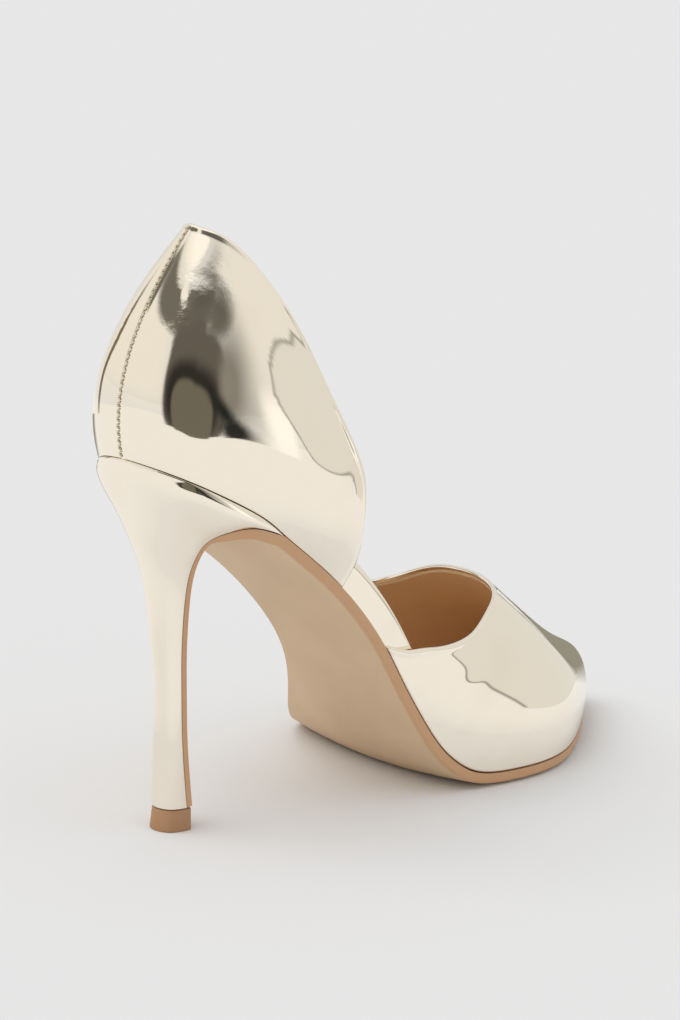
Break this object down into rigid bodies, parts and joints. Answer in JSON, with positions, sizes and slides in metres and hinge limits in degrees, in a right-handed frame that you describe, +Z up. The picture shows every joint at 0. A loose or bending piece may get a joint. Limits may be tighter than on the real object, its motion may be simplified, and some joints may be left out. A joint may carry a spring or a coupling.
{
  "type": "dorsay pump",
  "caption": "High-heeled pump for the right foot with closed pointed toe, closed heel counter, sides cut away at the waist, low waist bands and a slim stiletto heel.",
  "frame": {"origin": "the middle of the heel's top piece where it stands on the floor", "axes": "+Y along the shoe from the heel to the toe, +X to the outer side of the right foot, +Z up"},
  "size_m": [0.0802, 0.2257, 0.1581],
  "materials": {
    "sole_tan": "matt smooth sole leather with a darker burnished edge",
    "heel_gold": "mirror-gloss pale gold foil leather, stretched over the heel",
    "top_piece_tan": "matt tan wear-resistant top piece",
    "lining_tan": "smooth tan lining leather",
    "upper_gold": "mirror-gloss pale gold foil leather with fine dents",
    "band_gold": "mirror-gloss pale gold foil leather"
  },
  "bodies": {
    "root": {"outsole": "sole_tan", "heel": "heel_gold", "top_piece": "top_piece_tan", "insole": "lining_tan", "counter": "upper_gold", "vamp": "upper_gold", "waist_band_outer": "band_gold", "waist_band_inner": "band_gold"}
  },
  "joints": []
}
